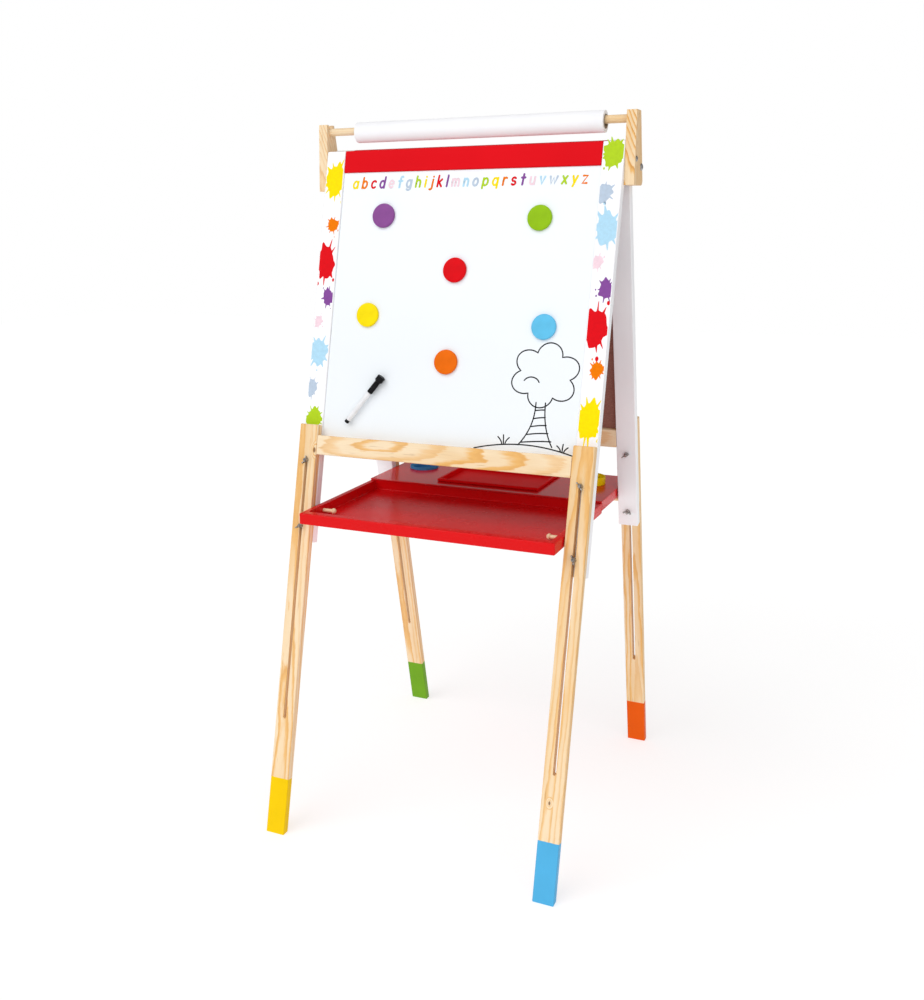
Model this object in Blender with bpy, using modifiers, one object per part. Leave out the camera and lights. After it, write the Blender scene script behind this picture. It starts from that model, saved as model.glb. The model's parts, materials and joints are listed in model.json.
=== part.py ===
"""Children's double-sided A-frame easel: a magnetic whiteboard in front, a blackboard behind,
a tray between the two frames, a paper roll on top and four slotted legs held by wing nuts.

Metres, +Z up. The origin is on the floor under the middle of the easel, +X is the user's right
and the whiteboard faces -Y. Each frame is drawn upright in its own coordinates, from its top
corner down, and a parent empty leans it: X across, Y through its thickness, -Z down the stile.
"""

from math import cos, pi, radians, sin

import bmesh
import bpy
from mathutils import Euler, Matrix, Vector

# Lean and height of the two frames
FRONT_LEAN = radians(13.5)
REAR_LEAN = radians(12.5)
STILE_TOP_Z = 1.242
FOLD_AXIS_Y = 0.0375
FOLD_AXIS_Z = 1.200
FRONT_TOP_Y = 0.0
REAR_TOP_Y = 0.020

# Timber
HALF_WIDTH = 0.284          # outer edge of a stile
STILE_WIDTH = 0.038
STILE_DEPTH = 0.017
STILE_LENGTH = 0.731
LEG_DEPTH = 0.015
LEG_TOP = 0.510             # how far down the stile a leg starts
TOP_BAR_HEIGHT = 0.040
RAIL_TOP = 0.529
RAIL_HEIGHT = 0.036
EDGE_ROUND = 0.0015
GAP = 0.0003
PAST = 0.010                # how far a cutter runs past the face that it cuts

# Boards
BOARD_THICKNESS = 0.006
BOARD_RECESS = 0.003

# Bolts, wing nuts and the leg slots
UPPER_BOLT = 0.577          # how far down the stile
LOWER_BOLT = 0.700
BOLT_RADIUS = 0.0025
BOLT_HOLE_RADIUS = 0.0028
BOLT_HEAD_RADIUS = 0.0065
BOLT_HEAD_HEIGHT = 0.003
SLOT_TOP = 0.5755           # centre of the slot's upper round end
SLOT_BOTTOM = 1.060
SLOT_HALF_WIDTH = 0.003
NUT_HUB_RADIUS = 0.0045
NUT_HUB_HEIGHT = 0.0055
NUT_BORE_RADIUS = 0.00258
NUT_HALF_SPAN = 0.0085
NUT_WING_TOP = 0.0095
NUT_TIP_RADIUS = 0.0022
NUT_WING_THICKNESS = 0.002
NUT_TURNS = {               # how each wing nut was left standing
    "front_left_upper": radians(62),
    "front_left_lower": radians(35),
    "front_right_upper": radians(-50),
    "front_right_lower": radians(-70),
    "rear_left_upper": radians(20),
    "rear_left_lower": radians(75),
    "rear_right_upper": radians(28),
    "rear_right_lower": radians(-8),
}

# Top brackets, rod and paper roll
BRACKET_THICKNESS = 0.0175
BRACKET_TOP_Z = 1.290
BRACKET_BOTTOM_Z = 1.170
BRACKET_FRONT_Y = (0.0005, -0.0055)     # at the top and at the bottom
BRACKET_REAR_Y = (0.0265, 0.0510)
BRACKET_CORNER = 0.010
PIVOT_RADIUS = 0.003
PIVOT_HOLE_RADIUS = 0.0031
PIVOT_DEPTH = 0.022         # into the rear stile
SCREW_RADIUS = 0.0025
SCREW_DEPTH = 0.016         # into the front stile
SCREW_Z = 1.212
SCREW_Y = 0.0045
ROD_RADIUS = 0.0068
ROD_HALF_LENGTH = 0.2945
ROD_Y = 0.0136
ROD_Z = 1.2770
CORE_INNER_RADIUS = 0.0100
CORE_OUTER_RADIUS = 0.0118
ROLL_RADIUS = 0.0182
ROLL_START_X = -0.226
ROLL_END_X = 0.246
ROLL_Z = 1.2742

# Tray, deck, insert and pots
TRAY_HALF_WIDTH = 0.244
TRAY_FRONT_Y = -0.216
TRAY_SPLIT_Y = 0.0620
TRAY_REAR_Y = 0.268
TRAY_TOP_Z = 0.601
TRAY_BOTTOM_Z = 0.580
TRAY_FLOOR = 0.003
TRAY_SIDE_WALL = 0.011
TRAY_FRONT_WALL = 0.016
TRAY_BACK_WALL = 0.004
DECK_TOP_Z = 0.6045
DECK_BOTTOM_Z = 0.585
DECK_SHEET = 0.003
DECK_SKIRT = 0.004
DECK_LIP = 0.004            # how far the deck's front edge reaches over the trough's back wall
INSERT_CENTRE = (0.001, 0.155)
INSERT_SIZE = (0.214, 0.140)
INSERT_RIM = 0.0040         # how far the dish's rim lies over the deck
INSERT_RIM_HEIGHT = 0.0055
INSERT_WALL = 0.0015
INSERT_FLOOR_Z = 0.602
INSERT_FLOOR = 0.002
POT_CENTRES = {"blue": (-0.183, 0.187), "yellow": (0.183, 0.187)}
POT_RISES = {"blue": 0.0060, "yellow": 0.0150}
POT_RADIUS = 0.0300
POT_LOWER_RADIUS = 0.0265
POT_WALL = 0.0018
POT_BOTTOM_Z = 0.5860

# Pegs and rest pins
PEG_RADIUS = 0.0036
PEG_HEAD_RADIUS = 0.0058
PEG_HEAD_LENGTH = 0.0065
PEG_STICK_OUT = 0.0205
PEG_IN_STILE = 0.012
PEG_Z = 0.5905
PIN_RADIUS = 0.0040
PIN_LENGTH = 0.030
PIN_IN_STILE = 0.014

# Magnets and marker pen, as (across, down) on the whiteboard
MAGNET_RADIUS = 0.0220
MAGNET_THICKNESS = 0.0055
MAGNETS = {
    "purple": (-0.1554, 0.1205),
    "green": (0.1457, 0.1270),
    "red": (-0.0045, 0.2180),
    "yellow": (-0.1709, 0.3020),
    "blue": (0.1705, 0.3130),
    "orange": (-0.0063, 0.3810),
}
MARKER_END = (-0.1935, 0.5015)
MARKER_TIP = (-0.1280, 0.4140)
MARKER_BODY_RADIUS = 0.0045
MARKER_PLUG_LENGTH = 0.0060
MARKER_BODY_LENGTH = 0.0716
MARKER_CAP_RADIUS = 0.0052
MARKER_ERASER_RADIUS = 0.0075
MARKER_ERASER_LENGTH = 0.0110

PINE = ("pine", (0.87, 0.70, 0.45), 0.55, 0.0)
WHITE = ("white_paint", (0.90, 0.91, 0.94), 0.35, 0.0)
RED = ("red_gloss", (0.75, 0.01, 0.01), 0.25, 0.0)
BOARD_WHITE = ("whiteboard", (0.90, 0.94, 0.98), 0.20, 0.0)
BOARD_BLACK = ("blackboard", (0.03, 0.03, 0.03), 0.80, 0.0)
STEEL = ("zinc_steel", (0.60, 0.60, 0.58), 0.35, 1.0)
PAPER = ("paper", (0.95, 0.95, 0.95), 0.85, 0.0)
CARD = ("card", (0.55, 0.40, 0.25), 0.85, 0.0)
BLACK = ("black_plastic", (0.03, 0.03, 0.03), 0.40, 0.0)
COLOURS = {
    "purple": (0.26, 0.08, 0.36),
    "green": (0.26, 0.54, 0.01),
    "red": (0.76, 0.00, 0.01),
    "yellow": (1.00, 0.78, 0.00),
    "blue": (0.11, 0.56, 0.87),
    "orange": (0.91, 0.20, 0.00),
}

SIDES = {"left": -1, "right": 1}
STILE_MIDDLE = HALF_WIDTH - STILE_WIDTH / 2
INNER_HALF = HALF_WIDTH - STILE_WIDTH
STACK = STILE_DEPTH + GAP + LEG_DEPTH       # what a leg bolt clamps


def clear_scene():
    for obj in list(bpy.data.objects):
        bpy.data.objects.remove(obj, do_unlink=True)


def collection(name):
    made = bpy.data.collections.new(name)
    bpy.context.scene.collection.children.link(made)
    return made


clear_scene()
PARTS = collection("easel")
CUTTERS = collection("cutters")
CUTTERS.hide_render = True


def material(spec):
    name, colour, roughness, metallic = spec
    found = bpy.data.materials.get(name)
    if found:
        return found
    made = bpy.data.materials.new(name)
    made.use_nodes = True
    shader = made.node_tree.nodes["Principled BSDF"]
    shader.inputs["Base Color"].default_value = (*colour, 1.0)
    shader.inputs["Roughness"].default_value = roughness
    shader.inputs["Metallic"].default_value = metallic
    return made


def plastic(colour):
    return (colour + "_plastic", COLOURS[colour], 0.30, 0.0)


def empty(name, place, lean=0.0):
    made = bpy.data.objects.new(name, None)
    made.location = place
    made.rotation_euler = (lean, 0.0, 0.0)
    PARTS.objects.link(made)
    return made


def keep(name, mesh, parent, spec=None, place=None):
    """An object from a mesh: a part where it has a material, and otherwise a cutter."""
    obj = bpy.data.objects.new(name, mesh)
    obj.parent = parent
    if place is not None:
        obj.matrix_local = place
    if spec:
        mesh.materials.append(material(spec))
        PARTS.objects.link(obj)
    else:
        obj.hide_render = True
        obj.display_type = "WIRE"
        CUTTERS.objects.link(obj)
    return obj


def box_mesh(name, low, high):
    shape = bmesh.new()
    bmesh.ops.create_cube(shape, size=1.0)
    size = Vector(high) - Vector(low)
    bmesh.ops.scale(shape, vec=size, verts=shape.verts)
    bmesh.ops.translate(shape, vec=(Vector(high) + Vector(low)) / 2, verts=shape.verts)
    mesh = bpy.data.meshes.new(name)
    shape.to_mesh(mesh)
    shape.free()
    return mesh


def rod_mesh(name, radius, start, end, sides=12):
    """A plain cylinder from one point to another."""
    start, end = Vector(start), Vector(end)
    shape = bmesh.new()
    bmesh.ops.create_cone(
        shape, cap_ends=True, segments=sides, radius1=radius, radius2=radius,
        depth=(end - start).length,
    )
    turn = (end - start).to_track_quat("Z", "Y").to_matrix().to_4x4()
    bmesh.ops.transform(shape, matrix=Matrix.Translation((start + end) / 2) @ turn, verts=shape.verts)
    mesh = bpy.data.meshes.new(name)
    shape.to_mesh(mesh)
    shape.free()
    return mesh


def outline_mesh(name, points, thickness):
    """A flat outline, extruded evenly about its own plane and welded into one closed mesh."""
    curve = bpy.data.curves.new(name, "CURVE")
    curve.dimensions = "2D"
    curve.fill_mode = "BOTH"
    curve.extrude = thickness / 2
    spline = curve.splines.new("POLY")
    spline.points.add(len(points) - 1)
    for point, (x, y) in zip(spline.points, points):
        point.co = (x, y, 0.0, 1.0)
    spline.use_cyclic_u = True
    guide = bpy.data.objects.new(name, curve)
    CUTTERS.objects.link(guide)
    graph = bpy.context.evaluated_depsgraph_get()
    mesh = bpy.data.meshes.new_from_object(guide.evaluated_get(graph))
    bpy.data.objects.remove(guide)
    shape = bmesh.new()
    shape.from_mesh(mesh)
    bmesh.ops.remove_doubles(shape, verts=shape.verts, dist=1e-6)
    bmesh.ops.recalc_face_normals(shape, faces=shape.faces)
    shape.to_mesh(mesh)
    shape.free()
    return mesh


def arc(centre, radius, start, end, steps):
    """Points on an arc, from one angle to another."""
    return [
        (
            centre[0] + radius * cos(start + (end - start) * step / steps),
            centre[1] + radius * sin(start + (end - start) * step / steps),
        )
        for step in range(steps + 1)
    ]


def side_on(x):
    """Stands a flat outline up in the YZ plane, at x."""
    return Matrix.Translation((x, 0, 0)) @ Euler((pi / 2, 0, pi / 2)).to_matrix().to_4x4()


def soften(obj, width=EDGE_ROUND, segments=2):
    bevel = obj.modifiers.new("Bevel", "BEVEL")
    bevel.width = width
    bevel.segments = segments
    bevel.limit_method = "ANGLE"
    bevel.angle_limit = radians(35)
    return obj


def combine(obj, other, operation="DIFFERENCE"):
    boolean = obj.modifiers.new(other.name, "BOOLEAN")
    boolean.operation = operation
    boolean.object = other
    return obj


def hole_mesh(name, radius, start, end, sides=12):
    """A cutter whose flats, and not its corners, lie at the radius, so that a round pin fits."""
    return rod_mesh(name, radius / cos(pi / sides), start, end, sides)


def drill(obj, name, radius, start, end, sides=12):
    return combine(obj, keep(name, hole_mesh(name, radius, start, end, sides), obj.parent))


def weld(obj):
    """Joins the points that the cuts leave almost on top of each other."""
    merge = obj.modifiers.new("Weld", "WELD")
    merge.merge_threshold = 0.00002
    return obj


def turned(name, profile, parent, spec, place, steps=24, ring=False):
    """A turned piece: its half profile as (radius, height), down the outer side."""
    mesh = bpy.data.meshes.new(name)
    edges = [(index, index + 1) for index in range(len(profile) - 1)]
    if ring:
        edges.append((len(profile) - 1, 0))
    mesh.from_pydata([(radius, 0.0, height) for radius, height in profile], edges, [])
    obj = keep(name, mesh, parent, spec, place)
    screw = obj.modifiers.new("Screw", "SCREW")
    screw.steps = steps
    screw.render_steps = steps
    screw.use_merge_vertices = True
    screw.merge_threshold = 0.00001
    screw.use_smooth_shade = True
    return obj


def smooth(obj):
    obj.data.shade_smooth()
    obj.data.set_sharp_from_angle(angle=radians(40))
    return obj


def floor_cut(which, depth):
    """How far down the stile the floor is, at a depth in the frame's own Y."""
    if which == "front":
        return (STILE_TOP_Z - depth * sin(FRONT_LEAN)) / cos(FRONT_LEAN)
    return (STILE_TOP_Z + depth * sin(REAR_LEAN)) / cos(REAR_LEAN)


def middle_depth():
    """Halfway between the front feet's front edge and the rear feet's back edge."""
    toe, heel = -GAP - LEG_DEPTH, STACK
    front_edge = FRONT_TOP_Y + toe * cos(FRONT_LEAN) - floor_cut("front", toe) * sin(FRONT_LEAN)
    rear_edge = REAR_TOP_Y + heel * cos(REAR_LEAN) + floor_cut("rear", heel) * sin(REAR_LEAN)
    return (front_edge + rear_edge) / 2


# Parent empties. The rear frame hangs from the fold axis.

MIDDLE_Y = middle_depth()
front = empty("front_frame_origin", (0.0, FRONT_TOP_Y - MIDDLE_Y, STILE_TOP_Z), -FRONT_LEAN)
rear = empty("rear_frame_origin", (0.0, FOLD_AXIS_Y - MIDDLE_Y, FOLD_AXIS_Z), REAR_LEAN)
level = empty("level_origin", (0.0, -MIDDLE_Y, 0.0))

# The rear frame's own coordinates start at the fold axis: this is its inner top corner there.
_to_corner = Vector((0.0, REAR_TOP_Y - FOLD_AXIS_Y, STILE_TOP_Z - FOLD_AXIS_Z))
REAR_CORNER = Euler((-REAR_LEAN, 0, 0)).to_matrix() @ _to_corner


def frame_shift(which):
    """Where a frame's top corner lies in its empty's coordinates."""
    return REAR_CORNER if which == "rear" else Vector((0.0, 0.0, 0.0))


def frame_box(name, which, low, high, spec):
    shift = frame_shift(which)
    parent = rear if which == "rear" else front
    return keep(name, box_mesh(name, Vector(low) + shift, Vector(high) + shift), parent, spec)


def frame_drill(obj, name, which, radius, start, end):
    shift = frame_shift(which)
    return drill(obj, name, radius, Vector(start) + shift, Vector(end) + shift)


def peg_down():
    """How far down the front stile the tray pegs are, halfway through its depth."""
    return (STILE_TOP_Z - PEG_Z - STILE_DEPTH / 2 * sin(FRONT_LEAN)) / cos(FRONT_LEAN)


def pin_down():
    """How far down the rear stile the rest pins are, so that their tops meet the deck's skirt."""
    pin_z = DECK_BOTTOM_Z - GAP - PIN_RADIUS
    return (STILE_TOP_Z - pin_z + STILE_DEPTH / 2 * sin(REAR_LEAN)) / cos(REAR_LEAN)


def make_stile(which, side):
    sign = SIDES[side]
    name = f"{which}_stile_{side}"
    ends = sorted((sign * INNER_HALF, sign * HALF_WIDTH))
    obj = frame_box(
        name, which, (ends[0], 0.0, -STILE_LENGTH), (ends[1], STILE_DEPTH, 0.0), WHITE
    )
    soften(obj)
    middle = sign * STILE_MIDDLE
    for label, down in (("upper", UPPER_BOLT), ("lower", LOWER_BOLT)):
        frame_drill(
            obj, f"{name}_{label}_hole", which, BOLT_HOLE_RADIUS,
            (middle, -PAST, -down), (middle, STILE_DEPTH + PAST, -down),
        )
    half_depth = STILE_DEPTH / 2
    if which == "front":
        down, radius, depth = peg_down(), PEG_RADIUS + GAP, PEG_IN_STILE + GAP
    else:
        down, radius, depth = pin_down(), PIN_RADIUS + GAP, PIN_IN_STILE + GAP
    frame_drill(
        obj, f"{name}_peg_hole", which, radius,
        (sign * (INNER_HALF - PAST), half_depth, -down),
        (sign * (INNER_HALF + depth), half_depth, -down),
    )
    if which == "rear":
        pivot = keep(
            f"{name}_pivot_hole",
            hole_mesh(
                f"{name}_pivot_hole", PIVOT_HOLE_RADIUS,
                (sign * (HALF_WIDTH + PAST), 0, 0), (sign * (HALF_WIDTH - PIVOT_DEPTH - GAP), 0, 0),
            ),
            rear,
        )
        combine(obj, pivot)
    return obj


def slot_outline():
    """The stadium of a leg's slot, as (across, down the stile)."""
    top = arc((0.0, -SLOT_TOP), SLOT_HALF_WIDTH, 0.0, pi, 8)
    bottom = arc((0.0, -SLOT_BOTTOM), SLOT_HALF_WIDTH, pi, 2 * pi, 8)
    return top + bottom


def make_leg(which, side):
    sign = SIDES[side]
    name = f"leg_{which}_{side}"
    parent = rear if which == "rear" else front
    shift = frame_shift(which)
    if which == "front":
        near, far = -GAP - LEG_DEPTH, -GAP
    else:
        near, far = STILE_DEPTH + GAP, STACK
    corners = [
        (near, -LEG_TOP),
        (near, -floor_cut(which, near)),
        (far, -floor_cut(which, far)),
        (far, -LEG_TOP),
    ]
    points = [(y + shift.y, z + shift.z) for y, z in corners]
    mesh = outline_mesh(name, points, STILE_WIDTH)
    mesh.transform(side_on(sign * STILE_MIDDLE))
    obj = keep(name, mesh, parent, PINE)
    soften(obj, EDGE_ROUND, 2)
    slot = outline_mesh(f"{name}_slot", slot_outline(), 2 * (STACK + PAST))
    stand = Euler((pi / 2, 0, 0)).to_matrix().to_4x4()
    slot.transform(Matrix.Translation((sign * STILE_MIDDLE, shift.y, shift.z)) @ stand)
    return combine(obj, keep(f"{name}_slot", slot, parent))


def make_frame(which):
    for side in SIDES:
        make_stile(which, side)
        make_leg(which, side)
    inner = INNER_HALF - GAP
    bar_spec = RED if which == "front" else PINE
    soften(frame_box(
        f"{which}_top_bar", which,
        (-inner, 0.0, -TOP_BAR_HEIGHT), (inner, STILE_DEPTH, 0.0), bar_spec,
    ))
    if which == "front":
        name, spec = "whiteboard", BOARD_WHITE
        board_near = BOARD_RECESS
        rail_ends = (-GAP - LEG_DEPTH, STILE_DEPTH)
    else:
        name, spec = "blackboard", BOARD_BLACK
        board_near = STILE_DEPTH - BOARD_RECESS - BOARD_THICKNESS
        rail_ends = (0.0, STACK)
    frame_box(
        name, which,
        (-inner, board_near, -RAIL_TOP + GAP),
        (inner, board_near + BOARD_THICKNESS, -TOP_BAR_HEIGHT - GAP), spec,
    )
    soften(frame_box(
        f"{which}_rail", which,
        (-inner, rail_ends[0], -RAIL_TOP - RAIL_HEIGHT), (inner, rail_ends[1], -RAIL_TOP), PINE,
    ))


# Bolts and wing nuts. Each is drawn along Z, towards its nut, from the clamped face.

def bolt_profile():
    """A carriage bolt: domed head under the stack, plain shank, chamfered end past the nut."""
    head = -STACK - GAP
    end = NUT_HUB_HEIGHT + 0.004
    dome = arc((0.0, head), 1.0, -pi / 2, 0.0, 4)
    dome = [
        (x * BOLT_HEAD_RADIUS, head + (y - head) * BOLT_HEAD_HEIGHT) for x, y in dome
    ]
    shank = [
        (0.0, end),
        (BOLT_RADIUS - 0.0005, end),
        (BOLT_RADIUS, end - 0.0005),
        (BOLT_RADIUS, head),
    ]
    return shank + [(BOLT_HEAD_RADIUS, head)] + dome[-2:0:-1] + [(0.0, head - BOLT_HEAD_HEIGHT)]


def nut_mesh(name):
    """A wing nut's two wings as one upright outline, which the hub then joins."""
    tip_x = NUT_HALF_SPAN - NUT_TIP_RADIUS
    wing = [(0.0, 0.0012), (0.0050, 0.0012), (tip_x, 0.0036)]
    tip = arc((tip_x, NUT_WING_TOP - NUT_TIP_RADIUS), NUT_TIP_RADIUS, -pi / 3, pi * 0.75, 6)
    inner = [(0.0042, 0.0052), (0.0, 0.0045)]
    right = wing + tip + inner
    left = [(-x, y) for x, y in reversed(right) if x > 0.0]
    mesh = outline_mesh(name, right + left, NUT_WING_THICKNESS)
    mesh.transform(Euler((pi / 2, 0, 0)).to_matrix().to_4x4())
    return mesh


def make_nut(name, parent, place):
    mesh = nut_mesh(name)
    obj = keep(name, mesh, parent, STEEL, place)
    hub = bmesh.new()
    bmesh.ops.create_cone(
        hub, cap_ends=True, segments=16, radius1=NUT_HUB_RADIUS,
        radius2=NUT_HUB_RADIUS - 0.001, depth=NUT_HUB_HEIGHT,
    )
    bmesh.ops.translate(hub, vec=(0, 0, NUT_HUB_HEIGHT / 2), verts=hub.verts)
    hub_mesh = bpy.data.meshes.new(f"{name}_hub")
    hub.to_mesh(hub_mesh)
    hub.free()
    combine(obj, keep(f"{name}_hub", hub_mesh, parent, None, place), "UNION")
    bore = hole_mesh(f"{name}_bore", NUT_BORE_RADIUS, (0, 0, -PAST), (0, 0, NUT_WING_TOP + PAST), 12)
    combine(obj, keep(f"{name}_bore", bore, parent, None, place))
    return obj


def make_fasteners(which):
    parent = rear if which == "rear" else front
    shift = frame_shift(which)
    clamp_face = -GAP - LEG_DEPTH if which == "front" else 0.0
    for side, sign in SIDES.items():
        for label, down in (("upper", UPPER_BOLT), ("lower", LOWER_BOLT)):
            spot = Vector((sign * STILE_MIDDLE, clamp_face, -down)) + shift
            facing = Matrix.Translation(spot) @ Euler((pi / 2, 0, 0)).to_matrix().to_4x4()
            smooth(turned(
                f"bolt_{which}_{side}_{label}", bolt_profile(), parent, STEEL, facing, 12
            ))
            turn = Matrix.Rotation(NUT_TURNS[f"{which}_{side}_{label}"], 4, "Z")
            lift = Matrix.Translation((0, 0, GAP))
            make_nut(f"wing_nut_{which}_{side}_{label}", parent, facing @ turn @ lift)


# Brackets, rod and paper roll

def bracket_outline():
    """The bracket from the side, as (y, z): wider at the foot, with one rounded corner."""
    front_top, front_bottom = BRACKET_FRONT_Y
    rear_top, rear_bottom = BRACKET_REAR_Y
    corner = (rear_bottom - BRACKET_CORNER, BRACKET_BOTTOM_Z + BRACKET_CORNER)
    rounded = arc(corner, BRACKET_CORNER, -pi / 2, radians(-12), 6)
    return [
        (front_top, BRACKET_TOP_Z),
        (front_bottom, BRACKET_BOTTOM_Z),
        *rounded,
        (rear_top, BRACKET_TOP_Z),
    ]


def groove_outline():
    """The U that holds the rod's end, open at the top."""
    radius = ROD_RADIUS + GAP
    return [
        (ROD_Y + radius, BRACKET_TOP_Z + PAST),
        (ROD_Y - radius, BRACKET_TOP_Z + PAST),
        *arc((ROD_Y, ROD_Z), radius, pi, 2 * pi, 10),
    ]


def make_bracket(side):
    sign = SIDES[side]
    name = f"bracket_{side}"
    middle = sign * (HALF_WIDTH + GAP + BRACKET_THICKNESS / 2)
    mesh = outline_mesh(name, bracket_outline(), BRACKET_THICKNESS)
    mesh.transform(side_on(middle))
    obj = soften(keep(name, mesh, level, PINE), EDGE_ROUND, 1)
    groove_depth = ROD_HALF_LENGTH + GAP - HALF_WIDTH
    groove = outline_mesh(f"{name}_groove", groove_outline(), 2 * groove_depth)
    groove.transform(side_on(sign * HALF_WIDTH))
    combine(obj, keep(f"{name}_groove", groove, level))
    outer = HALF_WIDTH + BRACKET_THICKNESS + PAST
    for label, radius, y, z in (
        ("pivot_hole", PIVOT_HOLE_RADIUS, FOLD_AXIS_Y, FOLD_AXIS_Z),
        ("screw_hole", SCREW_RADIUS + GAP, SCREW_Y, SCREW_Z),
    ):
        drill(
            obj, f"{name}_{label}", radius,
            (sign * (HALF_WIDTH - PAST), y, z), (sign * outer, y, z),
        )
    face = HALF_WIDTH + GAP + BRACKET_THICKNESS + GAP
    pivot = rod_profile(PIVOT_RADIUS, face - HALF_WIDTH + PIVOT_DEPTH, 0.0062, 0.0030)
    weld(obj)
    aim = Euler((0, sign * pi / 2, 0)).to_matrix().to_4x4()
    place = Matrix.Translation((sign * face, FOLD_AXIS_Y, FOLD_AXIS_Z)) @ aim
    smooth(turned(f"pivot_bolt_{side}", pivot, level, STEEL, place, 16))
    screw = rod_profile(SCREW_RADIUS, face - HALF_WIDTH + SCREW_DEPTH, 0.0048, 0.0022)
    place = Matrix.Translation((sign * face, SCREW_Y, SCREW_Z)) @ aim
    smooth(turned(f"bracket_screw_{side}", screw, level, STEEL, place, 12))
    stile = PARTS.objects[f"front_stile_{side}"]
    hole = hole_mesh(
        f"{name}_stile_hole", SCREW_RADIUS + GAP,
        (sign * (HALF_WIDTH + PAST), SCREW_Y, SCREW_Z),
        (sign * (HALF_WIDTH - SCREW_DEPTH - GAP), SCREW_Y, SCREW_Z),
    )
    combine(stile, keep(f"{name}_stile_hole", hole, level))


def rod_profile(radius, length, head_radius, head_height):
    """A headed pin, from its domed head at +Z down to its chamfered end."""
    dome = [
        (head_radius * sin(angle), head_height * cos(angle))
        for angle in (0.0, pi / 6, pi / 3, pi / 2)
    ]
    return dome + [
        (radius, 0.0),
        (radius, -length + 0.0006),
        (radius - 0.0006, -length),
        (0.0, -length),
    ]


def make_roll():
    axis = Euler((0, pi / 2, 0)).to_matrix().to_4x4()
    rod = [
        (0.0, ROD_HALF_LENGTH),
        (ROD_RADIUS - 0.001, ROD_HALF_LENGTH),
        (ROD_RADIUS, ROD_HALF_LENGTH - 0.001),
        (ROD_RADIUS, -ROD_HALF_LENGTH + 0.001),
        (ROD_RADIUS - 0.001, -ROD_HALF_LENGTH),
        (0.0, -ROD_HALF_LENGTH),
    ]
    smooth(turned("roll_rod", rod, level, PINE, Matrix.Translation((0, ROD_Y, ROD_Z)) @ axis))
    for name, inner, outer, spec, trim in (
        ("roll_core", CORE_INNER_RADIUS, CORE_OUTER_RADIUS, CARD, 0.0),
        ("paper_roll", CORE_OUTER_RADIUS + GAP, ROLL_RADIUS, PAPER, 0.001),
    ):
        start, end = ROLL_START_X + trim, ROLL_END_X - trim
        ring = [(inner, end), (outer, end), (outer, start), (inner, start)]
        place = Matrix.Translation((0, ROD_Y, ROLL_Z)) @ axis
        smooth(turned(name, ring, level, spec, place, 28, ring=True))


# Tray, deck, insert and pots

def level_box(name, low, high, spec=None):
    return keep(name, box_mesh(name, low, high), level, spec)


def make_tray():
    tray = level_box(
        "tray",
        (-TRAY_HALF_WIDTH, TRAY_FRONT_Y, TRAY_BOTTOM_Z),
        (TRAY_HALF_WIDTH, TRAY_SPLIT_Y - GAP, TRAY_TOP_Z), RED,
    )
    soften(tray, 0.0025, 3)
    hollow = TRAY_HALF_WIDTH - TRAY_SIDE_WALL
    trough = level_box(
        "tray_hollow",
        (-hollow, TRAY_FRONT_Y + TRAY_FRONT_WALL, TRAY_BOTTOM_Z + TRAY_FLOOR),
        (hollow, TRAY_SPLIT_Y - TRAY_BACK_WALL, TRAY_TOP_Z + PAST),
    )
    combine(tray, soften(trough, 0.002, 2))
    peg_y = peg_place().y
    for side, sign in SIDES.items():
        drill(
            tray, f"tray_peg_hole_{side}", PEG_RADIUS + GAP,
            (sign * (hollow - PAST), peg_y, PEG_Z),
            (sign * (TRAY_HALF_WIDTH + PAST), peg_y, PEG_Z),
        )


def make_deck():
    """The raised back of the tray, whose front lip lies over the trough's back wall."""
    deck = level_box(
        "tray_deck",
        (-TRAY_HALF_WIDTH, TRAY_SPLIT_Y - DECK_LIP, DECK_BOTTOM_Z),
        (TRAY_HALF_WIDTH, TRAY_REAR_Y, DECK_TOP_Z), RED,
    )
    soften(deck, EDGE_ROUND, 2)
    under = DECK_TOP_Z - DECK_SHEET
    combine(deck, level_box(
        "deck_lip_notch",
        (-TRAY_HALF_WIDTH - PAST, TRAY_SPLIT_Y - DECK_LIP - PAST, DECK_BOTTOM_Z - PAST),
        (TRAY_HALF_WIDTH + PAST, TRAY_SPLIT_Y, under),
    ))
    combine(deck, level_box(
        "deck_hollow",
        (-TRAY_HALF_WIDTH + DECK_SKIRT, TRAY_SPLIT_Y + DECK_SKIRT, DECK_BOTTOM_Z - PAST),
        (TRAY_HALF_WIDTH - DECK_SKIRT, TRAY_REAR_Y - DECK_SKIRT, under),
    ))
    well_x = INSERT_SIZE[0] / 2 - INSERT_RIM + GAP
    well_y = INSERT_SIZE[1] / 2 - INSERT_RIM + GAP
    middle_x, middle_y = INSERT_CENTRE
    combine(deck, level_box(
        "deck_well",
        (middle_x - well_x, middle_y - well_y, DECK_TOP_Z - PAST),
        (middle_x + well_x, middle_y + well_y, DECK_TOP_Z + PAST),
    ))
    for colour, (x, y) in POT_CENTRES.items():
        drill(
            deck, f"deck_hole_{colour}", POT_LOWER_RADIUS + GAP,
            (x, y, DECK_TOP_Z - PAST), (x, y, DECK_TOP_Z + PAST), 28,
        )


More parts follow.
